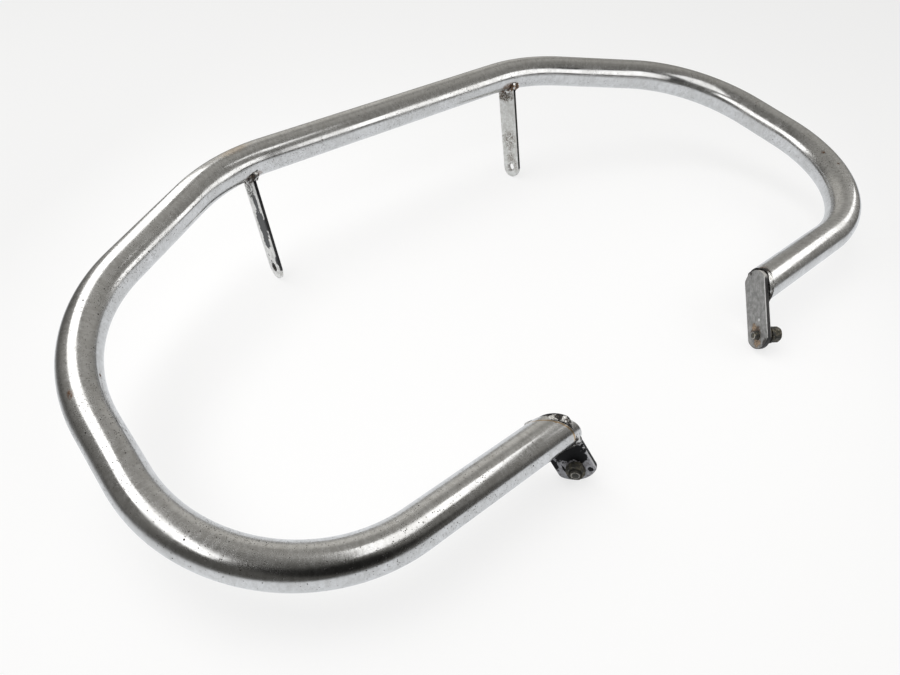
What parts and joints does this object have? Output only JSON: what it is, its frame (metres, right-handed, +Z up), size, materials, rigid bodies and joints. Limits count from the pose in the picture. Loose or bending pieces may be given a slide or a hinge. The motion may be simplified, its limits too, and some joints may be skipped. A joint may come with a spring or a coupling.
{
  "type": "motorcycle engine guard",
  "caption": "Chromed steel tube bent into a wide open loop, with flat drilled tabs under its middle run and a bolted oblong plate on each end.",
  "frame": {"origin": "on the floor, under the middle of the guard's footprint, with the guard lying as it rests on its tabs and end plates", "axes": "+X to the guard's right, along the middle run; +Y towards the middle run, away from the open ends; +Z up"},
  "size_m": [0.8396, 0.4358, 0.1322],
  "materials": {
    "chromed_tube": "worn chrome with haze, fine pits and rust specks",
    "left_tab_paint": "worn plating with patches of dark paint",
    "right_tab_steel": "dull grey with brown rust mottling",
    "left_plate_paint": "black paint, chipped back to bare grey metal",
    "right_plate_steel": "dull grey steel, brown rust at the bolt",
    "weld_bead": "lumpy bead, dark and rusty with bright spots",
    "rusty_fasteners": "dark and rusty"
  },
  "bodies": {
    "root": {"guard_tube": "chromed_tube", "left_tab": "left_tab_paint", "left_tab_weld": "weld_bead", "left_end_plate": "left_plate_paint", "left_plate_weld": "weld_bead", "left_bolt": "rusty_fasteners", "left_nut": "rusty_fasteners", "left_flat_washer": "rusty_fasteners", "left_spring_washer": "rusty_fasteners", "right_tab": "right_tab_steel", "right_tab_weld": "weld_bead", "right_end_plate": "right_plate_steel", "right_plate_weld": "weld_bead", "right_bolt": "rusty_fasteners", "right_nut": "rusty_fasteners", "right_flat_washer": "rusty_fasteners", "right_spring_washer": "rusty_fasteners"}
  },
  "joints": []
}
